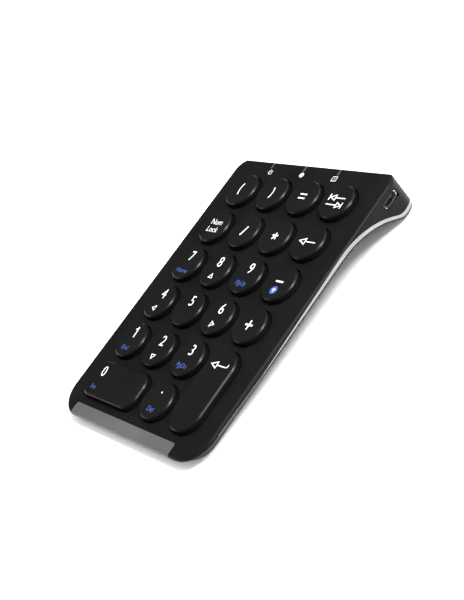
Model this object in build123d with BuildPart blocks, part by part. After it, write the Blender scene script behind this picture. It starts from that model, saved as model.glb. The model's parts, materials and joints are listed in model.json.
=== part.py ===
from build123d import *
from math import atan2, cos, degrees, radians, sin
import os

# A wireless numeric keypad: a thin deck of round keys whose tail curls down into a hollow foot.
#
# It stands on a table at Z = 0, centred on X = Y = 0 over its bounding box. The deck is tilted, so
# nearly everything is drawn on `deck`, a plane on the deck's top surface with its X to the right,
# its Y to the rear and its origin between the middle keys of the rear row. Heights along that
# plane's normal are called levels, so levels inside the case are negative.

os.makedirs("parts", exist_ok=True)

# ---- driving dimensions -------------------------------------------------------------------------
pitch = 19.0  # key to key, both ways
columns = 4
rows = 6
case_width = 92.0
front_margin = 16.5  # last row of keys to the front edge
rear_margin = 17.0  # first row of keys to the rear edge
front_corner = 12.0
rear_corner = 7.0
rear_bulge = 1.0  # the rear wall swells this far past the edge of the deck

deck_skin = 1.2  # top cover over the keys
wall = 1.5
deck_round = 1.2  # edge of the deck all round
seam = 0.15  # the bottom cover stands in by this much
fit = 0.08  # clearance round an inlaid trim part

# depth of the underside below the deck, along the side edge and along the middle
front_depth = 1.35
edge_depth = 2.7
floor_depth = 5.4
edge_foot_depth = 14.6
floor_foot_depth = 15.6
floor_sag = 0.05  # the middle is this much deeper still at edge_taper
bevel_width = 3.4
edge_taper = 40.0  # the side edge thins from here to the front corner
ramp_start_edge = -21.0
ramp_start_floor = -16.5
ramp_angle = 41.0
foot_round_edge = 6.5
foot_round_floor = 6.0
heel_round = 2.5

# how far each part's boundary lies above the underside: at the front, at edge_taper, at the rear
outside = (0.0, 0.0, 0.0)
skin = (0.15, 1.0, 1.0)  # top face of the bottom cover
band_bottom = (0.05, 0.5, 0.6)  # silver trim round the lower edge
band_top = (0.15, 0.7, 2.1)
band_depth = 1.2

# keys
travel = 1.4
cap_height = 2.4  # top of a keycap over the deck
cap_radius = 7.85
cap_chamfer = 0.5
cap_dish = 0.35
cap_roof = 1.2
cap_wall = 1.1
hole_gap = 0.6
flange_radius = 8.9
flange_thick = 0.7
pocket_gap = 0.1
stop_gap = 0.05
lug_width = 1.8
lug_reach = 0.6
zero_corner = 5.8
pusher_radius = 2.0

# the stack under the deck, from the top down
frame_thick = 2.2
mat_thick = 0.3
film_thick = 0.1
backplate_thick = 0.4
stack_half = 39.3
stack_front = -105.3
stack_rear = 10.4
stack_corner = 3.0
dome_height = 2.2
dome_base_radius = 3.9
dome_top_radius = 2.3
dome_wall = 0.35
contact_radius = 0.9

# case screws and the bosses they bite in
boss_radius = 2.0
boss_bore = 0.62
boss_clearance = 0.3
screw_radius = 0.6
screw_head_radius = 1.7
screw_head_thick = 0.7

# feet
pad_length = 17.0
pad_width = 4.2
pad_proud = 0.6
pad_x = 28.0
rear_pad_y = 12.2
front_pad_y = -102.4

# electronics
cell_radius = 4.6
cell_length = 43.0
cell_left = -39.0
cell_y = 10.3
cell_level = -9.6
board_top = -6.15
board_thick = 0.8
port_y = 8.7
port_level = -4.65
port_width = 7.5
port_height = 3.0
led_x = (-23.5, -3.5, 16.5)
led_board_top = -3.0
switch_x = 27.0
switch_travel = 2.0

# ---- derived planes and levels ------------------------------------------------------------------
front_y = -(rows - 1) * pitch - front_margin
rear_y = rear_margin
nose_y = front_y + front_corner
heel_y = rear_y + rear_bulge
half_width = case_width / 2
half_pitch = pitch / 2

tilt = atan2(floor_foot_depth - floor_depth, rear_pad_y - front_pad_y)
deck_z = (floor_foot_depth + pad_proud) * cos(tilt) - rear_pad_y * sin(tilt)
front_reach = (front_y + deck_round) * cos(tilt) + deck_round * (sin(tilt) - 1)
rear_reach = (
    (heel_y - heel_round) * cos(tilt) + (floor_foot_depth - heel_round) * sin(tilt) + heel_round
)
deck = Plane(
    origin=(0, -(front_reach + rear_reach) / 2, deck_z),
    x_dir=(1, 0, 0),
    z_dir=(0, -sin(tilt), cos(tilt)),
)
side = Plane(origin=deck.origin, x_dir=deck.y_dir, z_dir=deck.x_dir)  # draws deck Y and level

frame_top = -deck_skin
mat_top = frame_top - frame_thick
film_top = mat_top - mat_thick
plate_top = film_top - 3 * film_thick
plate_bottom = plate_top - backplate_thick
dome_top = mat_top + dome_height
flange_top = frame_top - stop_gap
flange_bottom = flange_top - flange_thick
board_bottom = board_top - board_thick

column_x = [(c - (columns - 1) / 2) * pitch for c in range(columns)]
row_y = [-r * pitch for r in range(rows)]
boss_spots = [(x, y) for x in (-pitch, pitch) for y in (-1.5 * pitch, -3.5 * pitch)]
pad_spots = [(x, y) for x in (-pad_x, pad_x) for y in (rear_pad_y, front_pad_y)]

# each key: centre, and how far its outline is stretched each way along X and along Y
round_keys = [
    ("paren_left", "paren_right", "equals", "tab"),
    ("num_lock", "divide", "multiply", "backspace"),
    ("7", "8", "9", "minus"),
    ("4", "5", "6", "plus"),
    ("1", "2", "3", None),
    (None, None, "decimal", None),
]
keys = {
    name: (column_x[column], row_y[row], 0.0, 0.0)
    for row, names in enumerate(round_keys)
    for column, name in enumerate(names)
    if name
}
keys["enter"] = (column_x[3], (row_y[4] + row_y[5]) / 2, 0.0, half_pitch)
keys["zero"] = ((column_x[0] + column_x[1]) / 2, row_y[5], half_pitch, 0.0)
round_spots = [(x, y) for x, y, wide, long in keys.values() if wide == long]


# ---- shapes used more than once -----------------------------------------------------------------
def key_outline(name, radius):
    """Draws one key's outline, grown or shrunk to `radius`, in the current sketch."""
    x, y, wide, long = keys[name]
    with Locations((x, y)):
        if wide == long:
            Circle(radius)
        elif name == "zero":
            RectangleRounded(2 * (radius + wide), 2 * radius, radius - cap_radius + zero_corner)
        else:
            SlotOverall(2 * (radius + long), 2 * radius, rotation=90)


def key_prism(name, radius, level, depth):
    """A key's outline as a block that goes down from `level`."""
    with BuildPart() as block:
        with BuildSketch(deck.offset(level)):
            key_outline(name, radius)
        extrude(amount=-depth)
    return block.part


def underside(plane, blend, lifts, reach):
    """A closed side view of the case behind its front corners, from the deck to the underside.

    blend runs from 0 at the side edge to 1 along the middle. The underside is raised by `lifts`,
    and the view is `reach` longer than the case at its rear end.
    """

    def mix(at_edge, at_middle):
        return at_edge + (at_middle - at_edge) * blend

    lift = lifts[2]
    flat = mix(edge_depth, floor_depth)
    foot = mix(edge_foot_depth, floor_foot_depth)
    start = mix(ramp_start_edge, ramp_start_floor)
    toe_round = mix(foot_round_edge, foot_round_floor)
    turn = radians(ramp_angle)
    ramp_round = (foot - flat) / (1 - cos(turn)) - toe_round
    toe_y = start + (ramp_round + toe_round) * sin(turn)
    nose_level = mix(lifts[0] - front_depth, lifts[1] - floor_depth)
    heel = heel_y + reach
    heel_level = lift - foot + heel_round
    bend = 1 - cos(radians(45))

    def ramp(angle):
        return (start + ramp_round * sin(angle), lift - flat - ramp_round * (1 - cos(angle)))

    def toe(angle):
        return (toe_y - toe_round * sin(angle), lift - foot + toe_round * (1 - cos(angle)))

    with BuildSketch(plane) as view:
        with BuildLine():
            Polyline(
                (rear_y + reach, -1.6),
                (rear_y + reach, 0),
                (nose_y, 0),
                (nose_y, nose_level),
                (front_y + edge_taper, lifts[1] - flat - floor_sag * blend),
                (start, lift - flat),
            )
            ThreePointArc((start, lift - flat), ramp(turn / 2), ramp(turn))
            ThreePointArc(ramp(turn), toe(turn / 2), toe(0))
            Line(toe(0), (heel - heel_round, lift - foot))
            ThreePointArc(
                (heel - heel_round, lift - foot),
                (heel - heel_round * bend, lift - foot + heel_round * bend),
                (heel, heel_level),
            )
            ThreePointArc(
                (heel, heel_level),
                (heel - 0.24 * rear_bulge, (heel_level - 1.6) / 2),
                (rear_y + reach, -1.6),
            )
        make_face()
    return view.sketch.face()


def nose_outline(level, inset):
    """The front end of the case's plan outline, drawn in by `inset`."""
    radius = front_corner - inset
    x = half_width - front_corner
    bend = radius * cos(radians(45))
    with BuildSketch(deck.offset(level)) as plan:
        with BuildLine():
            Line((-x - radius, nose_y), (x + radius, nose_y))
            ThreePointArc((x + radius, nose_y), (x + bend, nose_y - bend), (x, nose_y - radius))
            Line((x, nose_y - radius), (-x, nose_y - radius))
            ThreePointArc((-x, nose_y - radius), (-x - bend, nose_y - bend), (-x - radius, nose_y))
        make_face()
    return plan.sketch.face()


def case_form(lifts, reach):
    """The case's form with its lower edges bevelled, before the corners of its plan are rounded.

    The underside is raised by `lifts`, and the form is `reach` longer than the case at both ends.
    """
    with BuildPart() as form:
        inner_x = half_width - bevel_width
        extrude(underside(side.offset(-inner_x), 1, lifts, reach), amount=2 * inner_x)
        for sign in (-1, 1):
            inner = underside(side.offset(sign * inner_x), 1, lifts, reach)
            outer = underside(side.offset(sign * half_width), 0, lifts, reach)
            loft([inner, outer], ruled=True)
        rim_level = lifts[0] - front_depth
        add(slab((-half_width, half_width), (front_y - reach, nose_y), (0, rim_level)))
        rim = nose_outline(rim_level, 0)
        loft([rim, nose_outline(lifts[1] - floor_depth, bevel_width)], ruled=True)
    return form.part


def plan_block(inset):
    """A deep block with the case's plan outline, drawn in by `inset`."""
    with BuildPart() as block:
        with BuildSketch(deck.offset(1)):
            with Locations((0, (front_y + heel_y) / 2)):
                Rectangle(case_width - 2 * inset, heel_y - front_y - 2 * inset)
            fillet(vertices().group_by(Axis.Y)[-1], rear_corner - inset)
            fillet(vertices().group_by(Axis.Y)[0], front_corner - inset)
        extrude(amount=-20)
    return block.part


def sheet(top, thick, hole_radius=0.0):
    """One flat layer of the stack, with holes that clear the screw bosses."""
    with BuildPart() as layer:
        with BuildSketch(deck.offset(top)):
            with Locations((0, (stack_front + stack_rear) / 2)):
                RectangleRounded(2 * stack_half, stack_rear - stack_front, stack_corner)
            with Locations(*boss_spots):
                Circle(boss_radius + boss_clearance, mode=Mode.SUBTRACT)
            if hole_radius:
                with Locations(*[(x, y) for x, y, wide, long in keys.values()]):
                    Circle(hole_radius, mode=Mode.SUBTRACT)
        extrude(amount=-thick)
    return layer.part


def slab(x_range, y_range, level_range, corner=0.0):
    """A box given by its ranges on the deck plane, with rounded upright corners."""
    with BuildPart() as box:
        with BuildSketch(deck.offset(level_range[0])):
            with Locations((sum(x_range) / 2, sum(y_range) / 2)):
                Rectangle(x_range[1] - x_range[0], y_range[1] - y_range[0])
            if corner:
                fillet(vertices(), corner)
        extrude(amount=level_range[1] - level_range[0])
    return box.part


def save(part, name):
    part.label = name
    export_step(part, f"parts/{name}.step")


# ---- case ---------------------------------------------------------------------------------------
with BuildPart() as shell_form:
    add(case_form(outside, 0))
    add(plan_block(0), mode=Mode.INTERSECT)
    top_face = faces().sort_by(Axis(deck.origin, deck.z_dir))[-1]
    fillet(top_face.edges(), deck_round)

with BuildPart() as cavity:
    add(case_form(skin, 3))
    add(plan_block(wall), mode=Mode.INTERSECT)
    below_skin = slab((-half_width, half_width), (front_y, rear_y - wall), (frame_top, -20))
    add(below_skin, mode=Mode.INTERSECT)

# the silver trim: a strip round the sides and the rear, thinning towards the front
with BuildPart() as edge_trim:
    add(shell_form.part)
    add(case_form(band_bottom, 3), mode=Mode.INTERSECT)
    add(case_form(band_top, 3), mode=Mode.SUBTRACT)
    add(plan_block(band_depth), mode=Mode.SUBTRACT)
    front_end = slab((-half_width, half_width), (front_y - 1, nose_y + 2), (1, -9))
    add(front_end, mode=Mode.SUBTRACT)
save(edge_trim.part, "edge_trim")

trim_x = (-36.0, 30.6)
trim_y = front_y + 5.3
with BuildPart() as front_trim:
    add(slab(trim_x, (front_y - 1, trim_y), (1, -0.7), 1.2))
    add(slab(trim_x, (front_y - 1, front_y + 1.0), (1, -1.1)))
    add(shell_form.part, mode=Mode.INTERSECT)
save(front_trim.part, "front_trim")
with BuildPart() as front_recess:
    wide = (trim_x[0] - fit, trim_x[1] + fit)
    add(slab(wide, (front_y - 2, trim_y + fit), (1, -0.7), 1.2 + fit))
    add(slab(wide, (front_y - 2, front_y + 1.0), (1, -1.1)))

guide_y = (13.5, 16.6)
guide_level = -2.3
guide_width = 0.7
with BuildPart() as led_light_guides:
    for x in led_x:
        add(slab((x - guide_width / 2, x + guide_width / 2), guide_y, (1, guide_level)))
    add(shell_form.part, mode=Mode.INTERSECT)
    add(slab((led_x[0] - 2, led_x[2] + 2), (11.2, guide_y[0] + 0.6), (frame_top, -1.9), 0.5))
save(led_light_guides.part, "led_light_guides")

with BuildPart() as top_cover:
    add(shell_form.part)
    add(case_form(skin, 3), mode=Mode.INTERSECT)
    add(cavity.part, mode=Mode.SUBTRACT)
    add(edge_trim.part, mode=Mode.SUBTRACT)
    add(front_recess.part, mode=Mode.SUBTRACT)
    for name in keys:
        add(key_prism(name, cap_radius + hole_gap, 1, 1 + deck_skin), mode=Mode.SUBTRACT)
    for x in led_x:
        slot_x = (x - guide_width / 2 - 0.04, x + guide_width / 2 + 0.04)
        add(slab(slot_x, (guide_y[0], guide_y[1] + 0.04), (1, guide_level)), mode=Mode.SUBTRACT)
    # screw bosses and the two posts that carry the LED board
    with BuildSketch(deck.offset(frame_top)):
        with Locations(*boss_spots):
            Circle(boss_radius)
    extrude(amount=plate_bottom + 0.02 - frame_top)
    with BuildSketch(deck.offset(plate_bottom)):
        with Locations(*boss_spots):
            Circle(boss_bore)
    extrude(amount=2.6, mode=Mode.SUBTRACT)
    with BuildSketch(deck.offset(frame_top)):
        with Locations((led_x[0] - 3.4, 12.9), (led_x[2] + 3.4, 12.9)):
            Circle(0.9)
    extrude(amount=led_board_top - frame_top)
    # openings in the walls: the USB socket at the right, the power switch at the rear
    with BuildSketch(side.offset(half_width - 4)):
        with Locations((port_y, port_level)):
            RectangleRounded(port_width + 0.5, port_height + 0.5, 0.7)
    extrude(amount=5, mode=Mode.SUBTRACT)
    switch_hole = (switch_x - 3.2, switch_x + 3.2)
    add(slab(switch_hole, (rear_y - 3, rear_y + 2), (-3.9, -5.7)), mode=Mode.SUBTRACT)
save(top_cover.part, "top_cover")

post_spots = [(10.0, 1.4), (38.0, 1.4), (15.6, 13.3)]
post_bore = 0.45
with BuildPart() as bottom_cover:
    add(case_form(outside, 0))
    add(plan_block(seam), mode=Mode.INTERSECT)
    add(case_form(skin, 3), mode=Mode.SUBTRACT)
    add(edge_trim.part, mode=Mode.SUBTRACT)
    # posts under the main board, ribs that cradle the cell
    with BuildSketch(deck.offset(board_bottom)):
        with Locations(*post_spots):
            Circle(1.7)
    extrude(amount=-9)
    for x in (cell_left + 7.5, cell_left + cell_length / 2, cell_left + cell_length - 5):
        add(slab((x - 0.6, x + 0.6), (cell_y - 5.0, cell_y + 5.0), (cell_level - 1.2, -15.2)))
    with BuildSketch(side.offset(cell_left)):
        with Locations((cell_y, cell_level)):
            Circle(cell_radius + 0.05)
    extrude(amount=cell_length, mode=Mode.SUBTRACT)
    add(case_form(outside, 0), mode=Mode.INTERSECT)
    add(plan_block(seam), mode=Mode.INTERSECT)
    with BuildSketch(deck.offset(plate_bottom)):
        with Locations(*boss_spots):
            Circle(screw_radius + 0.1)
    extrude(amount=-3, mode=Mode.SUBTRACT)
    with BuildSketch(deck.offset(board_bottom)):
        with Locations(*post_spots):
            Circle(post_bore)
    extrude(amount=-2.4, mode=Mode.SUBTRACT)
    with BuildSketch(deck.offset(-floor_depth - 1)):
        with Locations(*boss_spots):
            Circle(screw_head_radius + 0.1)
    extrude(amount=1 + screw_head_thick + 0.05, mode=Mode.SUBTRACT)
    # shallow seats for the feet
    for x, y in pad_spots:
        depth = floor_foot_depth if y > 0 else floor_depth
        spot_x = (x - pad_length / 2 - 0.05, x + pad_length / 2 + 0.05)
        spot_y = (y - pad_width / 2 - 0.05, y + pad_width / 2 + 0.05)
        add(slab(spot_x, spot_y, (-depth - 2, -depth + 0.4), 1.5), mode=Mode.SUBTRACT)
save(bottom_cover.part, "bottom_cover")

for foot_name, y, depth in (
    ("rear_feet", rear_pad_y, floor_foot_depth),
    ("front_feet", front_pad_y, floor_depth),
):
    with BuildPart() as feet:
        for x in (-pad_x, pad_x):
            foot_x = (x - pad_length / 2, x + pad_length / 2)
            foot_y = (y - pad_width / 2, y + pad_width / 2)
            add(slab(foot_x, foot_y, (-depth + 0.4, -depth - 2), 1.5))
        with BuildSketch(Plane.XY):
            Rectangle(200, 200)
        extrude(amount=40, mode=Mode.INTERSECT)
    save(feet.part, foot_name)

with BuildPart() as case_screws:
    with BuildSketch(deck.offset(-floor_depth + 0.05)):
        with Locations(*boss_spots):
            Circle(screw_head_radius)
    extrude(amount=screw_head_thick - 0.05)
    with BuildSketch(deck.offset(-floor_depth + screw_head_thick)):
        with Locations(*boss_spots):
            Circle(screw_radius)
    extrude(amount=2.8)
    with BuildSketch(deck.offset(-floor_depth + 0.05)):
        with Locations(*boss_spots):
            Rectangle(1.8, 0.4)
            Rectangle(0.4, 1.8)
    extrude(amount=0.35, mode=Mode.SUBTRACT)
save(case_screws.part, "case_screws")

# ---- keys and what they press -------------------------------------------------------------------
dish_radius = ((cap_radius - cap_chamfer) ** 2 + cap_dish**2) / (2 * cap_dish)
for name in keys:
    x, y, wide, long = keys[name]
    with BuildPart() as keycap:
        with BuildSketch(deck.offset(flange_bottom)):
            key_outline(name, cap_radius)
        extrude(amount=cap_height - flange_bottom)
        rim = faces().sort_by(Axis(deck.origin, deck.z_dir))[-1].edges()
        chamfer(rim, cap_chamfer)
        dish = deck.offset(cap_height - cap_dish + dish_radius)
        ends = [(x - wide, y - long), (x + wide, y + long)][: 1 if wide == long else 2]
        with Locations(*[dish.from_local_coords((*end, 0)) for end in ends]):
            Sphere(dish_radius, mode=Mode.SUBTRACT)
        if wide != long:
            axis = deck.x_dir if wide else deck.y_dir
            centre = dish.from_local_coords((x, y, 0)) - axis * half_pitch
            with BuildSketch(Plane(origin=centre, z_dir=axis)):
                Circle(dish_radius)
            extrude(amount=2 * half_pitch, mode=Mode.SUBTRACT)
        add(
            key_prism(name, cap_radius - cap_wall, cap_height - cap_roof - cap_dish, 9),
            mode=Mode.SUBTRACT,
        )
        # the flange that the top cover traps, with two lugs that stop the cap turning
        with BuildSketch(deck.offset(flange_top)):
            key_outline(name, flange_radius)
            if wide == long:
                with Locations((x, y)):
                    Rectangle(2 * (flange_radius + lug_reach), lug_width, rotation=45)
            with Locations((x, y)):
                Rectangle(2 * (wide + 6.6), 2 * (long + 6.6), mode=Mode.SUBTRACT)
        extrude(amount=-flange_thick)
        add(
            key_prism(name, cap_radius - cap_wall, flange_top + 0.5, 2),
            mode=Mode.SUBTRACT,
        )
        # the stem that presses the dome
        with BuildSketch(deck.offset(dome_top)):
            with Locations((x, y)):
                Circle(pusher_radius)
        extrude(amount=cap_height - cap_dish - cap_roof - dome_top + 0.1)
    save(keycap.part, f"key_{name}")

with BuildPart() as key_guide_frame:
    add(sheet(frame_top, frame_thick))
    for name in keys:
        add(
            key_prism(name, flange_radius + pocket_gap, frame_top, frame_thick),
            mode=Mode.SUBTRACT,
        )
    with BuildSketch(deck.offset(frame_top)):
        with Locations(*round_spots):
            Rectangle(
                2 * (flange_radius + lug_reach + pocket_gap),
                lug_width + 2 * pocket_gap,
                rotation=45,
            )
    extrude(amount=-frame_thick, mode=Mode.SUBTRACT)
save(key_guide_frame.part, "key_guide_frame")

with BuildPart() as dome_mat:
    add(sheet(mat_top, mat_thick))
    dome_spots = [(x, y) for x, y, wide, long in keys.values()]
    rise = dome_height
    for x, y in dome_spots:
        with BuildSketch(deck.offset(mat_top)):
            with Locations((x, y)):
                Circle(dome_base_radius)
        with BuildSketch(deck.offset(mat_top + rise)):
            with Locations((x, y)):
                Circle(dome_top_radius)
        loft()
        with BuildSketch(deck.offset(mat_top - mat_thick)):
            with Locations((x, y)):
                Circle(dome_base_radius - dome_wall + 0.1)
        with BuildSketch(deck.offset(mat_top + rise - dome_wall)):
            with Locations((x, y)):
                Circle(dome_top_radius - dome_wall)
        loft(mode=Mode.SUBTRACT)
    with BuildSketch(deck.offset(mat_top + rise - dome_wall)):
        with Locations(*dome_spots):
            Circle(contact_radius)
    extrude(amount=-0.9)
save(dome_mat.part, "dome_mat")

save(sheet(film_top, film_thick), "membrane_top")
save(sheet(film_top - film_thick, film_thick, 2.6), "membrane_spacer")
save(sheet(film_top - 2 * film_thick, film_thick), "membrane_bottom")
save(sheet(plate_top, backplate_thick), "backplate")

# ---- electronics --------------------------------------------------------------------------------
with BuildPart() as main_board:
    with BuildSketch(deck.offset(board_top)):
        with Locations((25.0, 7.3)):
            Rectangle(36.0, 15.8)
        fillet(vertices().group_by(Axis.Y)[-1].sort_by(Axis.X)[-1], 6.5)
        with Locations(*post_spots):
            Circle(0.55, mode=Mode.SUBTRACT)
    extrude(amount=-board_thick)
save(main_board.part, "main_board")

with BuildPart() as board_screws:
    with BuildSketch(deck.offset(board_top)):
        with Locations(*post_spots):
            Circle(1.3)
    extrude(amount=0.7)
    with BuildSketch(deck.offset(board_top)):
        with Locations(*post_spots):
            Circle(post_bore - 0.03)
    extrude(amount=-3.0)
save(board_screws.part, "board_screws")

with BuildPart() as controller_chip:
    add(slab((14.2, 19.2), (1.0, 6.0), (board_top, board_top + 0.9), 0.2))
save(controller_chip.part, "controller_chip")
with BuildPart() as radio_module:
    add(slab((24.6, 34.0), (-0.2, 5.4), (board_top, board_top + 1.5), 0.4))
save(radio_module.part, "radio_module")

port_inner = half_width - 5.9
with BuildPart() as usb_port_shell:
    with BuildSketch(side.offset(port_inner)):
        with Locations((port_y, port_level)):
            Rectangle(port_width, port_height)
        chamfer(vertices().group_by(Axis.Z)[0], 0.7)
        offset(amount=-0.3, mode=Mode.SUBTRACT)
    extrude(amount=5.0)
    with BuildSketch(side.offset(port_inner)):
        with Locations((port_y, port_level)):
            Rectangle(port_width, port_height)
        chamfer(vertices().group_by(Axis.Z)[0], 0.7)
    extrude(amount=0.4)
save(usb_port_shell.part, "usb_port_shell")
with BuildPart() as usb_port_tongue:
    tongue_y = (port_y - 2.6, port_y + 2.6)
    tongue_level = (port_level + 0.55, port_level + 0.0)
    add(slab((port_inner + 0.4, port_inner + 4.2), tongue_y, tongue_level, 0.2))
save(usb_port_tongue.part, "usb_port_tongue")

cell_right = cell_left + cell_length
with BuildPart() as battery_cell:
    with BuildSketch(side.offset(cell_left)):
        with Locations((cell_y, cell_level)):
            Circle(cell_radius)
    extrude(amount=cell_length)
    fillet(edges().filter_by(GeomType.CIRCLE), 0.6)
save(battery_cell.part, "battery_cell")

with BuildPart() as battery_leads:
    for y in (cell_y - 1.4, cell_y + 1.4):
        steps = [(0, -7.2), (1.2, -7.2), (2.6, -5.5), (6.4, -5.5)]
        route = [deck.from_local_coords((cell_right + step, y, level)) for step, level in steps]
        with BuildLine():
            path = FilletPolyline(*route, radius=0.7)
        with BuildSketch(Plane(origin=path @ 0, z_dir=path % 0)):
            Circle(0.45)
        sweep(path=path.edges())
save(battery_leads.part, "battery_leads")
with BuildPart() as battery_connector:
    plug_x = (cell_right + 6.4, cell_right + 10.0)
    add(slab(plug_x, (cell_y - 2.8, cell_y + 2.8), (board_top, board_top + 1.35), 0.2))
save(battery_connector.part, "battery_connector")

led_board_x = (led_x[0] - 4.4, led_x[2] + 4.4)
with BuildPart() as led_board:
    add(slab(led_board_x, (11.3, 15.2), (led_board_top, led_board_top - 0.6), 0.4))
save(led_board.part, "led_board")
with BuildPart() as status_leds:
    for x in led_x:
        add(slab((x - 0.8, x + 0.8), (14.1, 14.9), (led_board_top, led_board_top + 0.6)))
save(status_leds.part, "status_leds")
with BuildPart() as led_header:
    add(slab((18.0, 20.6), (11.6, 14.2), (led_board_top - 0.6, board_top)))
save(led_header.part, "led_header")

with BuildPart() as tail_connector:
    add(slab((24.0, 34.0), (7.4, 10.4), (board_top, board_top + 1.1), 0.2))
save(tail_connector.part, "tail_connector")
tail_thick = 0.12
tail_bottom = board_top + 0.6
with BuildPart() as membrane_tail:
    with BuildSketch(side.offset(25.0)):
        with BuildLine():
            FilletPolyline(
                (stack_rear + 0.07, film_top - 0.15),
                (stack_rear + 1.3, film_top - 0.15),
                (stack_rear + 1.3, tail_bottom),
                (stack_rear + 0.07, tail_bottom),
                radius=0.5,
            )
            offset(amount=tail_thick / 2)
        make_face()
    extrude(amount=8.0)
save(membrane_tail.part, "membrane_tail")

with BuildPart() as power_switch_body:
    add(slab((switch_x - 4.5, switch_x + 4.5), (12.3, 15.3), (board_top, -3.7)))
    add(slab((switch_x - 2.8, switch_x + 2.8), (13.6, 16), (-4.1, -5.5)), mode=Mode.SUBTRACT)
save(power_switch_body.part, "power_switch_body")
knob_x = switch_x - switch_travel / 2
with BuildPart() as power_switch_knob:
    add(slab((knob_x - 1.3, knob_x + 1.3), (13.8, rear_y - 0.1), (-4.15, -5.45)))
save(power_switch_knob.part, "power_switch_knob")
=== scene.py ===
import json
import math
import bmesh
import bpy
from mathutils import Matrix, Vector


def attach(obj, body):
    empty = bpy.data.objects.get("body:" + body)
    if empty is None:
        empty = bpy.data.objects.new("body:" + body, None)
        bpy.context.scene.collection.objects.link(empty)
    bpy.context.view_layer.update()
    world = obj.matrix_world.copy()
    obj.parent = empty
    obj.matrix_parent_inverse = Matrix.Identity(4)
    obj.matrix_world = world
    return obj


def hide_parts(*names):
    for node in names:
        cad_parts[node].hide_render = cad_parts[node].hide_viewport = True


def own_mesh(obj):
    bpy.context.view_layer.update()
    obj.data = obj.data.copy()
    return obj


# The numeric keypad's looks: printed legends, silicone domes, board parts, materials, light and
# camera. Lengths on the deck are in millimetres, as the key grid is laid out, and at() turns them
# into the row frame in metres. The lights and the floor are given in metres.

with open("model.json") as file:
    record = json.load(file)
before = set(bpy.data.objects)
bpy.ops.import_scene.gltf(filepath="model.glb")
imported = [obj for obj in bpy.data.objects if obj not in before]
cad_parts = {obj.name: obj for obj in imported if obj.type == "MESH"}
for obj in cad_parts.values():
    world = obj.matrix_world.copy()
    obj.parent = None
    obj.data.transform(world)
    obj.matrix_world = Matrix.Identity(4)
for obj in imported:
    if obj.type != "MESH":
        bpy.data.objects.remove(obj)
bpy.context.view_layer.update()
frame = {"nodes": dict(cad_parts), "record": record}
nodes = frame["nodes"]
scene = bpy.context.scene

MM = 0.001
MICRON = 0.000001

# the deck: its slope, and its axes and origin (the middle of the top row of keys)
DECK_RISE = 10.2
DECK_RUN = 114.6
TILT = math.atan2(DECK_RISE, DECK_RUN)
ORIGIN = Vector((0.0, 45.9295, 15.0546))
RIGHT = Vector((1, 0, 0))
REAR = Vector((0, math.cos(TILT), math.sin(TILT)))
UP = Vector((0, -math.sin(TILT), math.cos(TILT)))

# the keys: the grid's pitch, and the level and dish of a cap's top
PITCH = 19.0
HALF_PITCH = PITCH / 2
COLUMN = [(column - 1.5) * PITCH for column in range(4)]
CAP_TOP = 2.4
DISH = 0.35
DISH_RIM = 7.35
DISH_RADIUS = (DISH_RIM**2 + DISH**2) / (2 * DISH)

# the dome mat: its upper face, its thickness and its outline
MAT_TOP = -3.4
MAT_THICK = 0.3
MAT_HALF_WIDTH = 39.3
MAT_FRONT = -105.3
MAT_REAR = 10.4
MAT_CORNER = 3.0

# each key: centre, and how far its outline is stretched each way along X and along Y
KEYS = {
    name: (COLUMN[column], -row * PITCH, 0.0, 0.0)
    for row, names in enumerate(
        (
            ("paren_left", "paren_right", "equals", "tab"),
            ("num_lock", "divide", "multiply", "backspace"),
            ("7", "8", "9", "minus"),
            ("4", "5", "6", "plus"),
            ("1", "2", "3", None),
            (None, None, "decimal", None),
        )
    )
    for column, name in enumerate(names)
    if name
}
KEYS["enter"] = (COLUMN[3], -4.5 * PITCH, 0.0, HALF_PITCH)
KEYS["zero"] = ((COLUMN[0] + COLUMN[1]) / 2, -5 * PITCH, HALF_PITCH, 0.0)


def deck_vector(x, y, level):
    """A vector given along the deck's own axes."""
    return RIGHT * x + REAR * y + UP * level


def at(x, y, level=0.0):
    """A point on or over the deck, in metres in the row frame."""
    return (ORIGIN + deck_vector(x, y, level)) * MM


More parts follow.
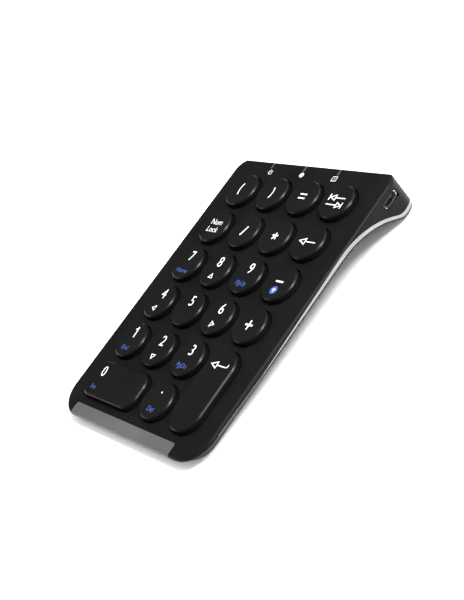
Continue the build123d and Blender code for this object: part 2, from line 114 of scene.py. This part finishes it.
# ---- materials ----------------------------------------------------------------------------------
class Nodes:
    """A small wrapper that adds and joins shader nodes."""

    SOCKETS = {
        "color": "Base Color",
        "rough": "Roughness",
        "metal": "Metallic",
        "normal": "Normal",
        "specular": "Specular IOR Level",
        "coat": "Coat Weight",
        "sheen": "Sheen Weight",
        "transmission": "Transmission Weight",
        "subsurface": "Subsurface Weight",
    }

    def __init__(self, name):
        self.material = bpy.data.materials.new(name)
        self.material.use_nodes = True
        self.tree = self.material.node_tree
        self.shader = self.tree.nodes["Principled BSDF"]
        self.coords = self.tree.nodes.new("ShaderNodeTexCoord").outputs["Object"]

    def add(self, kind, inputs=None, **settings):
        node = self.tree.nodes.new(kind)
        for key, value in settings.items():
            setattr(node, key, value)
        for key, value in (inputs or {}).items():
            self.set(node.inputs[key], value)
        return node

    def set(self, socket, value):
        if isinstance(value, bpy.types.NodeSocket):
            self.tree.links.new(value, socket)
        else:
            socket.default_value = value

    def noise(self, scale, detail, rough, stretch=None):
        vector = self.coords
        if stretch:
            mapping = {"Vector": vector, "Scale": stretch}
            vector = self.add("ShaderNodeMapping", mapping).outputs[0]
        return self.add(
            "ShaderNodeTexNoise",
            {"Vector": vector, "Scale": scale, "Detail": detail, "Roughness": rough},
        ).outputs["Fac"]

    def cells(self, scale):
        inputs = {"Vector": self.coords, "Scale": scale}
        return self.add("ShaderNodeTexVoronoi", inputs).outputs["Distance"]

    def spread(self, value, low, high, start=0.3, end=0.7):
        """Maps a field's usable middle, start to end, to the range low to high."""
        return self.add(
            "ShaderNodeMapRange",
            {"Value": value, "From Min": start, "From Max": end, "To Min": low, "To Max": high},
        ).outputs["Result"]

    def tint(self, factor, dark, light):
        mix = self.add("ShaderNodeMix", data_type="RGBA")
        self.set(mix.inputs["Factor"], factor)
        self.set(mix.inputs["A"], (*dark, 1))
        self.set(mix.inputs["B"], (*light, 1))
        return mix.outputs["Result"]

    def bump(self, height, microns, strength, under=None):
        inputs = {"Height": height, "Distance": microns * MICRON, "Strength": strength}
        if under:
            inputs["Normal"] = under
        return self.add("ShaderNodeBump", inputs).outputs["Normal"]

    def put(self, **sockets):
        for key, value in sockets.items():
            self.set(self.shader.inputs[self.SOCKETS[key]], value)
        return self.material


def shade(colour, factor):
    return tuple(min(1.0, part * factor) for part in colour)


def moulded(name, colour, rough, grain=12, grain_scale=2600, spread=0.25, shine=0.5):
    """Moulded plastic: a grain of so many microns, faint mottling and slightly uneven gloss."""
    n = Nodes(name)
    mottle = n.noise(55, 4, 0.6)
    grain_field = n.noise(grain_scale, 2, 0.7)
    pits = n.cells(grain_scale * 0.8)
    height = n.add("ShaderNodeMath", {0: grain_field, 1: pits}, operation="ADD").outputs[0]
    smudge = n.noise(28, 5, 0.65)
    dark, light = shade(colour, 1 - spread), shade(colour, 1 + spread)
    return n.put(
        color=n.tint(n.spread(mottle, 0, 1), dark, light),
        rough=n.spread(smudge, rough - 0.025, rough + 0.035, 0.35),
        normal=n.bump(height, grain, 0.9),
        specular=shine,
    )


def brushed(name, colour, rough, stretch, streak=6):
    """Metal with fine brushing, streak microns deep, and a little unevenness along it."""
    n = Nodes(name)
    lines = n.noise(900, 3, 0.6, stretch)
    cloud = n.noise(40, 3, 0.5)
    return n.put(
        color=n.tint(n.spread(lines, 0, 1), shade(colour, 0.86), shade(colour, 1.06)),
        rough=n.spread(cloud, rough - 0.04, rough + 0.08),
        metal=1.0,
        normal=n.bump(lines, streak, 0.6),
    )


def rubber(name, colour):
    """Matt rubber: dust in patches over fine pores."""
    n = Nodes(name)
    dust = n.noise(140, 5, 0.7)
    pores = n.noise(3200, 2, 0.6)
    return n.put(
        color=n.tint(n.spread(dust, 0, 1, 0.45, 0.75), colour, shade(colour, 1.9)),
        rough=n.spread(pores, 0.69, 0.85),
        normal=n.bump(pores, 20, 0.8),
        sheen=0.15,
    )


def silicone(name, colour):
    """Milky silicone, a little translucent."""
    n = Nodes(name)
    cloud = n.noise(90, 4, 0.6)
    skin = n.noise(2200, 2, 0.5)
    return n.put(
        color=n.tint(n.spread(cloud, 0, 1), shade(colour, 0.92), shade(colour, 1.04)),
        rough=n.spread(cloud, 0.42, 0.55),
        normal=n.bump(skin, 8, 0.5),
        subsurface=0.2,
    )


def board(name, mask, track):
    """Solder mask over copper tracks: faint raised tracks in two directions."""
    n = Nodes(name)
    tracks = n.add(
        "ShaderNodeTexBrick",
        {"Vector": n.coords, "Scale": 520.0, "Mortar Size": 0.035, "Bias": 0.0},
        offset=0.5,
    ).outputs["Fac"]
    weave = n.noise(1500, 2, 0.5)
    return n.put(
        color=n.tint(n.spread(tracks, 0, 1, 0, 1), mask, track),
        rough=n.spread(weave, 0.26, 0.38),
        normal=n.bump(tracks, 20, 0.6, n.bump(weave, 4, 0.5)),
        coat=0.3,
    )


def printed(name, colour):
    """Pad-printed ink: slightly uneven in thickness, matt, with tiny pinholes."""
    n = Nodes(name)
    ink = n.noise(900, 4, 0.7)
    return n.put(
        color=n.tint(n.spread(ink, 0, 1, 0.25, 0.6), shade(colour, 0.86), colour),
        rough=n.spread(ink, 0.49, 0.63),
        normal=n.bump(ink, 6, 0.6),
    )


def film(name, colour):
    """Thin clear film, faintly clouded."""
    n = Nodes(name)
    cloud = n.noise(70, 3, 0.5)
    return n.put(
        color=n.tint(n.spread(cloud, 0, 1), shade(colour, 0.94), colour),
        rough=n.spread(cloud, 0.16, 0.28),
        transmission=0.35,
        normal=n.bump(n.noise(300, 2, 0.5), 10, 0.3),
    )


def lens(name, colour):
    """Clear moulded plastic that lets a light through."""
    n = Nodes(name)
    cloud = n.noise(600, 3, 0.5)
    return n.put(
        color=n.tint(n.spread(cloud, 0, 1), shade(colour, 0.9), colour),
        rough=n.spread(cloud, 0.2, 0.32),
        transmission=0.3,
        normal=n.bump(cloud, 5, 0.4),
    )


CASE_BLACK = {"colour": (0.0048, 0.0048, 0.005), "rough": 0.4, "shine": 0.07}
BASE_BLACK = {"colour": (0.007, 0.007, 0.0073), "rough": 0.58, "shine": 0.2}
CAP_BLACK = {"colour": (0.0036, 0.0036, 0.0038), "rough": 0.34, "shine": 0.17}
CELL_BLUE = {"colour": (0.012, 0.04, 0.15), "rough": 0.3, "shine": 0.3}
ALONG_X = (0.05, 1, 1)
ALONG_Y = (1, 0.06, 1)
ALONG_Y_SOFT = (1, 0.1, 1)
ALONG_Z = (1, 1, 0.1)

# one material for each material slot of the record
MATERIALS = {
    "cover_black": moulded("cover_black", **CASE_BLACK, grain=14, grain_scale=2400),
    "base_black": moulded("base_black", **BASE_BLACK, grain=20, grain_scale=1900),
    "key_black": moulded("key_black", **CAP_BLACK, grain=8, grain_scale=3200, spread=0.2),
    "trim_grey": moulded("trim_grey", (0.068, 0.068, 0.07), 0.46, 8, 3000, spread=0.12),
    "frame_black": moulded("frame_black", (0.02, 0.02, 0.02), 0.6, 20, 1600),
    "silver_trim": brushed("silver_trim", (0.27, 0.273, 0.28), 0.26, ALONG_Y, streak=3),
    "light_guide": lens("light_guide", (0.1, 0.104, 0.11)),
    "foot_rubber": rubber("foot_rubber", (0.014, 0.014, 0.015)),
    "screw_steel": brushed("screw_steel", (0.16, 0.16, 0.17), 0.36, ALONG_Z),
    "silicone": silicone("silicone", (0.3, 0.31, 0.31)),
    "film": film("film", (0.5, 0.54, 0.51)),
    "connector_ivory": moulded("connector_ivory", (0.4, 0.36, 0.27), 0.48, 6, spread=0.06),
    "plate_steel": brushed("plate_steel", (0.4, 0.405, 0.41), 0.34, ALONG_X),
    "board_green": board("board_green", mask=(0.006, 0.055, 0.022), track=(0.016, 0.11, 0.046)),
    "chip_black": moulded("chip_black", (0.02, 0.02, 0.022), 0.55, 10, 3000, spread=0.1),
    "shield_steel": brushed("shield_steel", (0.7, 0.7, 0.7), 0.26, ALONG_Y_SOFT),
    "cell_wrap": moulded("cell_wrap", **CELL_BLUE, grain=5, grain_scale=900, spread=0.12),
    "lead_red": moulded("lead_red", (0.28, 0.012, 0.01), 0.45, 5, 1500, spread=0.1),
    "led_lens": lens("led_lens", (0.5, 0.49, 0.4)),
}
INK_WHITE = printed("ink_white", (0.66, 0.67, 0.68))
INK_BLUE = printed("ink_blue", (0.035, 0.07, 0.31))
INK_BLACK = printed("ink_black", (0.008, 0.008, 0.009))

for entry in frame["record"]["subparts"]:
    node = nodes[entry["node"]]
    node.data.materials.clear()
    node.data.materials.append(MATERIALS[entry["material_slot"]])


# ---- building small pieces ----------------------------------------------------------------------
FONT_DIGIT = 0.73  # a digit's height over the font's size
MITRE_LIMIT = 0.35  # a line's corner reaches no further out than half its width over this


def piece(name, bm, material, body, smooth=False):
    """Makes an object of the mesh, with the given material, which rides on the body."""
    mesh = bpy.data.meshes.new(name)
    bm.to_mesh(mesh)
    bm.free()
    for face in mesh.polygons:
        face.use_smooth = smooth
    mesh.materials.append(material)
    made = bpy.data.objects.new(name, mesh)
    scene.collection.objects.link(made)
    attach(made, body)
    return made


def text_shape(bm, words, size, x, y, condense=1.0, line=1.0):
    """Adds words as flat faces, centred on (x, y) by their real extent, size being digit height."""
    curve = bpy.data.curves.new("words", "FONT")
    curve.body = words
    curve.size = size / FONT_DIGIT
    curve.align_x = "CENTER"
    curve.space_line = line
    curve.resolution_u = 5
    maker = bpy.data.objects.new("words", curve)
    scene.collection.objects.link(maker)
    bpy.context.view_layer.update()
    mesh = bpy.data.meshes.new_from_object(
        maker.evaluated_get(bpy.context.evaluated_depsgraph_get())
    )
    bpy.data.objects.remove(maker)
    low = [min(v.co[k] for v in mesh.vertices) for k in (0, 1)]
    high = [max(v.co[k] for v in mesh.vertices) for k in (0, 1)]
    for vertex in mesh.vertices:
        vertex.co = (
            x + (vertex.co.x - (low[0] + high[0]) / 2) * condense,
            y + vertex.co.y - (low[1] + high[1]) / 2,
            0,
        )
    bm.from_mesh(mesh)
    bpy.data.meshes.remove(mesh)


def stroke(bm, points, width, closed=False):
    """Adds a flat mitred line through points; closed joins its last point to its first."""
    path = [Vector(p) for p in points]
    count = len(path)
    sides = []
    for i, point in enumerate(path):
        before = path[i - 1] if closed or i else None
        after = path[(i + 1) % count] if closed or i < count - 1 else None
        legs = ((before, point), (point, after))
        ways = [(b - a).normalized() for a, b in legs if a is not None and b is not None]
        normals = [Vector((-way.y, way.x)) for way in ways]
        mitre = sum(normals, Vector((0, 0))).normalized()
        reach = width / 2 / max(MITRE_LIMIT, mitre.dot(normals[0]))
        ends = (point + mitre * reach, point - mitre * reach)
        sides.append([bm.verts.new((*end, 0)) for end in ends])
    for i in range(count if closed else count - 1):
        a, b = sides[i], sides[(i + 1) % count]
        bm.faces.new((a[0], a[1], b[1], b[0]))


def polygon(bm, points):
    bm.faces.new([bm.verts.new((*p, 0)) for p in points])


def on_circle(x, y, radius, degrees):
    angle = math.radians(degrees)
    return (x + radius * math.cos(angle), y + radius * math.sin(angle))


def arc(x, y, radius, start, end, steps):
    turn = (end - start) / steps
    return [on_circle(x, y, radius, start + turn * i) for i in range(steps + 1)]


def disc(bm, x, y, radius, step):
    """Adds a filled circle with a corner every `step` degrees."""
    polygon(bm, [on_circle(x, y, radius, degrees) for degrees in range(0, 360, step)])


def dish_level(key, x, y):
    """Level of a keycap's dished top at (x, y) measured from the key's centre."""
    _, _, wide, long = KEYS[key]
    dx = max(0.0, abs(x) - wide)
    dy = max(0.0, abs(y) - long)
    return CAP_TOP - DISH + (dx * dx + dy * dy) / (2 * DISH_RADIUS)


def lay(bm, place, longest=0.9, rounds=4):
    """Cuts the flat shape finely and lays it on the surface that place(x, y) describes."""
    bmesh.ops.triangulate(bm, faces=bm.faces[:])
    for _ in range(rounds):
        edges = [e for e in bm.edges if e.calc_length() > longest]
        if not edges:
            break
        bmesh.ops.subdivide_edges(bm, edges=edges, cuts=1)
        bmesh.ops.triangulate(bm, faces=bm.faces[:])
    for vertex in bm.verts:
        vertex.co = place(vertex.co.x, vertex.co.y)
    bmesh.ops.recalc_face_normals(bm, faces=bm.faces[:])
    if sum((f.normal * f.calc_area() for f in bm.faces), Vector()).dot(UP) < 0:
        bmesh.ops.reverse_faces(bm, faces=bm.faces[:])


def print_on_key(key, kind, bm, ink=INK_WHITE, lift=0.025):
    """Lays the shape on the key's dished top, `lift` over it."""
    cx, cy, _, _ = KEYS[key]
    lay(bm, lambda x, y: at(cx + x, cy + y, dish_level(key, x, y) + lift))
    piece(f"{kind}_{key}", bm, ink, f"key_{key}")


def print_words(key, words, size, x, y, kind="legend", ink=INK_WHITE, condense=0.92, line=1.0):
    bm = bmesh.new()
    text_shape(bm, words, size, x, y, condense, line)
    print_on_key(key, kind, bm, ink)


def print_lines(key, *lines, kind="legend"):
    """Prints lines on a key, each given as stroke() takes it: points, width, and closed or not."""
    bm = bmesh.new()
    for line in lines:
        stroke(bm, *line)
    print_on_key(key, kind, bm)


# ---- key legends --------------------------------------------------------------------------------
MAIN_Y = 3.4  # middle of the upper legend
SUB_Y = -3.6  # middle of the lower legend
ZERO_X = -11.0  # the wide key's legends stand at its left end
ENTER_Y = 10.4  # the tall key's arrow stands near its top
TAB_X = -0.4  # middle of the tab key's two arrows
BADGE_Y = -3.3  # middle of the minus key's badge

# the sizes of type, each as the height of a digit in it
DIGIT = 4.65
ZERO_DIGIT = 4.5
SUB_WORD = 2.15
LOCK_WORD = 2.75

# the widths of lines
THICK = 0.75
CURVED = 0.56
SHAFT = 0.44
HEAD = 0.42

for digit in "78945623":
    print_words(digit, digit, DIGIT, 0, MAIN_Y)
# the 1 is drawn with lines: a flag and an upright
print_lines(
    "1",
    ([(-1.1, MAIN_Y + 1.1), (-0.35, MAIN_Y + 1.5), (0.3, MAIN_Y + 2.35)], 0.5),
    ([(0.2, MAIN_Y - 2.35), (0.2, MAIN_Y + 2.35)], 0.66),
)
print_words("zero", "0", ZERO_DIGIT, ZERO_X, MAIN_Y - 0.2)
for key, words, x in (
    ("7", "Home", 0.0),
    ("9", "PgUp", 0.0),
    ("1", "End", 0.0),
    ("3", "PgDn", 0.0),
    ("zero", "Ins", ZERO_X),
    ("decimal", "Del", 0.0),
):
    print_words(key, words, SUB_WORD, x, SUB_Y - 0.2, "sublegend", INK_BLUE, 0.95)
print_words("num_lock", "Num\nLock", LOCK_WORD, 0, 0, condense=0.95, line=0.98)

print_lines("paren_left", (arc(4.9, 0.2, 6.2, 153, 207, 14), CURVED))
print_lines("paren_right", (arc(-5.8, 0.3, 6.2, 25, -25, 14), CURVED))
print_lines("equals", *[([(-2.5, y), (1.3, y)], 0.62) for y in (-0.4, 1.5)])
print_lines("divide", ([(-0.85, -2.2), (0.85, 2.2)], THICK))
print_lines("multiply", *[([(0, 0), on_circle(0, 0, 1.65, 90 + 72 * i)], 0.72) for i in range(5)])
print_lines("minus", ([(-1.95, 0.6), (1.95, 0.6)], THICK))
print_lines(
    "plus",
    ([(-2.0, 0), (2.0, 0)], THICK),
    ([(0, -2.0), (0, -THICK / 2)], THICK),
    ([(0, THICK / 2), (0, 2.0)], THICK),
)
bm = bmesh.new()
disc(bm, 0, MAIN_Y, 0.38, 23)
print_on_key("decimal", "legend", bm)


def hollow_head(tip, y, back, half):
    """A hollow triangle's line, its tip at (tip, y) and its flat end at x = back."""
    return ([(tip, y), (back, y - half), (back, y + half)], HEAD, True)


print_lines("backspace", hollow_head(-4.4, 0, -1.5, 1.3), ([(-1.3, 0), (4.1, 0)], SHAFT))
print_lines(
    "enter",
    hollow_head(-4.6, ENTER_Y, -1.7, 1.3),
    ([(-1.5, ENTER_Y), (3.5, ENTER_Y), (4.2, ENTER_Y + 0.3), (4.3, ENTER_Y + 1.3)], SHAFT),
)
tab_lines = []
for sign, y in ((-1, 1.75), (1, -1.55)):
    tab_lines += [
        hollow_head(TAB_X + sign * 3.8, y, TAB_X + sign * 1.3, 1.2),
        ([(TAB_X + sign * 1.1, y), (TAB_X - sign * 4.1, y)], 0.46),
        ([(TAB_X + sign * 4.25, y - 1.45), (TAB_X + sign * 4.25, y + 1.45)], 0.5),
    ]
print_lines("tab", *tab_lines)

for key, turn in (("8", 90), ("4", 180), ("6", 0), ("2", 270)):
    corners = [on_circle(0, SUB_Y, 1.25, turn + step) for step in (0, 120, 240)]
    print_lines(key, (corners, 0.38, True), kind="sublegend")


def wireless_sign(bm, x, y, size):
    """A generic wireless sign: a dot with two arcs over it."""
    low = y - size * 0.62
    disc(bm, x, low, size * 0.22, 30)
    for radius in (0.62, 1.12):
        stroke(bm, arc(x, low, size * radius, 45, 135, 10), size * 0.24)


bm = bmesh.new()
disc(bm, 0, BADGE_Y, 1.75, 10)
print_on_key("minus", "badge", bm, INK_BLUE)
bm = bmesh.new()
wireless_sign(bm, 0, BADGE_Y - 0.05, 1.15)
print_on_key("minus", "sign", bm, lift=0.035)


# ---- icons by the three indicator lines ---------------------------------------------------------
POWER_X, RADIO_X, LOCK_X = -22.3, -3.0, 16.3
ICON_Y = 11.65
ICON_LINE = 0.28


def print_on_deck(name, bm, ink=INK_WHITE, lift=0.02):
    lay(bm, lambda x, y: at(x, y, lift), longest=2.0)
    piece(name, bm, ink, "case")


bm = bmesh.new()
stroke(bm, arc(POWER_X, ICON_Y - 0.15, 0.95, 120, 420, 22), ICON_LINE)
stroke(bm, [(POWER_X, ICON_Y + 0.05), (POWER_X, ICON_Y + 1.15)], ICON_LINE)
print_on_deck("icon_power", bm)
bm = bmesh.new()
disc(bm, RADIO_X, ICON_Y + 0.1, 1.15, 10)
print_on_deck("icon_badge", bm)
bm = bmesh.new()
wireless_sign(bm, RADIO_X, ICON_Y + 0.05, 0.75)
print_on_deck("icon_wireless", bm, INK_BLACK, 0.03)
bm = bmesh.new()
corners = [(LOCK_X + i * 1.2, ICON_Y + j * 1.05) for i, j in ((-1, -1), (1, -1), (1, 1), (-1, 1))]
stroke(bm, corners, 0.26, closed=True)
text_shape(bm, "1", 1.4, LOCK_X, ICON_Y)
print_on_deck("icon_num_lock", bm)


# ---- silicone domes and their mat ---------------------------------------------------------------
DOME_SIDES = 40
ON_AXIS = 0.001  # radius of the ends of the profile, which remove_doubles closes to a point
# a dome's section as radius and height over the mat: from the top's middle out and down, then
# back up the inside and down round the nub under the top
DOME_PROFILE = [
    (ON_AXIS, 2.2),
    (1.2, 2.2),
    (2.0, 2.2),
    (2.3, 2.12),
    (2.5, 1.85),
    (2.75, 1.35),
    (3.3, 0.6),
    (3.75, 0.25),
    (3.9, 0.0),
    (3.5, 0.0),
    (3.4, 0.1),
    (2.9, 0.55),
    (2.15, 1.6),
    (2.0, 1.85),
    (0.95, 1.85),
    (0.9, 0.95),
    (ON_AXIS, 0.95),
]


def dome(key):
    """One key's dome, a thin cone with a nub."""
    cx, cy, _, _ = KEYS[key]
    bm = bmesh.new()
    loops = []
    for radius, height in DOME_PROFILE:
        spots = [on_circle(cx, cy, radius, 360 * i / DOME_SIDES) for i in range(DOME_SIDES)]
        loops.append([bm.verts.new(at(x, y, MAT_TOP + height)) for x, y in spots])
    for one, two in zip(loops, loops[1:]):
        for i in range(DOME_SIDES):
            j = (i + 1) % DOME_SIDES
            bm.faces.new((one[i], one[j], two[j], two[i]))
    bmesh.ops.remove_doubles(bm, verts=bm.verts[:], dist=1e-5)
    bmesh.ops.recalc_face_normals(bm, faces=bm.faces[:])
    made = piece(f"dome_{key}", bm, MATERIALS["silicone"], "case", smooth=True)
    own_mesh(made)


def mat_sheet():
    """The mat itself, a sheet with rounded corners that takes the place of the CAD solid."""
    rim = []
    front = MAT_FRONT + MAT_CORNER
    rear = MAT_REAR - MAT_CORNER
    for sign, y, start in ((1, front, -90), (1, rear, 0), (-1, rear, 90), (-1, front, 180)):
        rim += arc(sign * (MAT_HALF_WIDTH - MAT_CORNER), y, MAT_CORNER, start, start + 90, 6)
    bm = bmesh.new()
    polygon(bm, rim)
    bmesh.ops.triangulate(bm, faces=bm.faces[:])
    for vertex in bm.verts:
        vertex.co = at(vertex.co.x, vertex.co.y, MAT_TOP - MAT_THICK)
    raised = bmesh.ops.extrude_face_region(bm, geom=bm.faces[:])["geom"]
    for vertex in (g for g in raised if isinstance(g, bmesh.types.BMVert)):
        vertex.co += UP * MAT_THICK * MM
    bmesh.ops.recalc_face_normals(bm, faces=bm.faces[:])
    mat = piece("dome_mat_sheet", bm, MATERIALS["silicone"], "case")
    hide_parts("dome_mat")


for key in KEYS:
    dome(key)
mat_sheet()


# ---- floor, light, camera -----------------------------------------------------------------------
FLOOR_SIZE = 8.0
FLOOR_LEVEL = -0.00005  # just under the feet, so that the two faces don't lie in one plane
SKY_STRENGTH = 1.0
SKY_MIRRORED = 0.2  # the sky as glossy surfaces see it, so that the blacks stay dark

# the camera, solved from the key centres in the photograph: its place on the deck's axes in
# millimetres, and the directions of its picture's right and down along the same axes
CAMERA_PLACE = (363.56, -171.84, 247.07)
CAMERA_RIGHT = (0.595, 0.561, -0.575)
CAMERA_DOWN = (0.150, -0.781, -0.607)
CAMERA_SENSOR = 36.0
CAMERA_LENS = 73.6

bpy.ops.mesh.primitive_plane_add(size=FLOOR_SIZE, location=(0, 0, FLOOR_LEVEL))
floor = bpy.context.object
floor.name = "floor"
paper = Nodes("floor_paper").put(color=(0.93, 0.93, 0.93, 1), rough=0.9, specular=0.1)
floor.data.materials.append(paper)

world = bpy.data.worlds.new("studio")
scene.world = world
world.use_nodes = True
sky = world.node_tree
mirrored = sky.nodes.new("ShaderNodeLightPath").outputs["Is Glossy Ray"]
strength = sky.nodes.new("ShaderNodeMapRange")
strength.inputs["To Min"].default_value = SKY_STRENGTH
strength.inputs["To Max"].default_value = SKY_MIRRORED
background = sky.nodes["Background"]
background.inputs["Color"].default_value = (1, 1, 1, 1)
sky.links.new(mirrored, strength.inputs["Value"])
sky.links.new(strength.outputs["Result"], background.inputs["Strength"])


def area(name, position, target, size, power):
    """A white rectangular light at position, turned to target, with its power in watts."""
    data = bpy.data.lights.new(name, "AREA")
    data.shape = "RECTANGLE"
    data.size, data.size_y = size
    data.energy = power
    lamp = bpy.data.objects.new(name, data)
    lamp.location = position
    away = (Vector(position) - Vector(target)).normalized()
    lamp.rotation_euler = away.to_track_quat("Z", "Y").to_euler()
    scene.collection.objects.link(lamp)


area("overhead", (0.0, 0.25, 1.2), (0, 0, 0), size=(1.4, 1.4), power=6)
area("right_fill", (0.9, 0.1, 0.32), (0.05, 0, 0), size=(0.8, 0.3), power=3)
area("edge_light", (0.6, 0.31, 0.87), (0, 0, 0), size=(0.12, 0.6), power=20)
area("rear_strip", (0.4, 0.75, 0.45), (0.0, 0.0, 0.01), size=(0.7, 0.1), power=2.4)
area("left_glow", (-0.85, -0.6, 0.38), (0, -0.05, 0), size=(0.4, 0.4), power=1.2)

camera_data = bpy.data.cameras.new("camera")
camera_data.sensor_width = CAMERA_SENSOR
camera_data.lens = CAMERA_LENS
camera_data.clip_start = 0.01
camera = bpy.data.objects.new("camera", camera_data)
scene.collection.objects.link(camera)
right = deck_vector(*CAMERA_RIGHT).normalized()
down = deck_vector(*CAMERA_DOWN).normalized()
back = right.cross(-down).normalized()
up = back.cross(right).normalized()
turned = Matrix((right, up, back)).transposed().to_4x4()
camera.matrix_world = Matrix.Translation(at(*CAMERA_PLACE)) @ turned
scene.camera = camera

scene.view_settings.view_transform = "Standard"
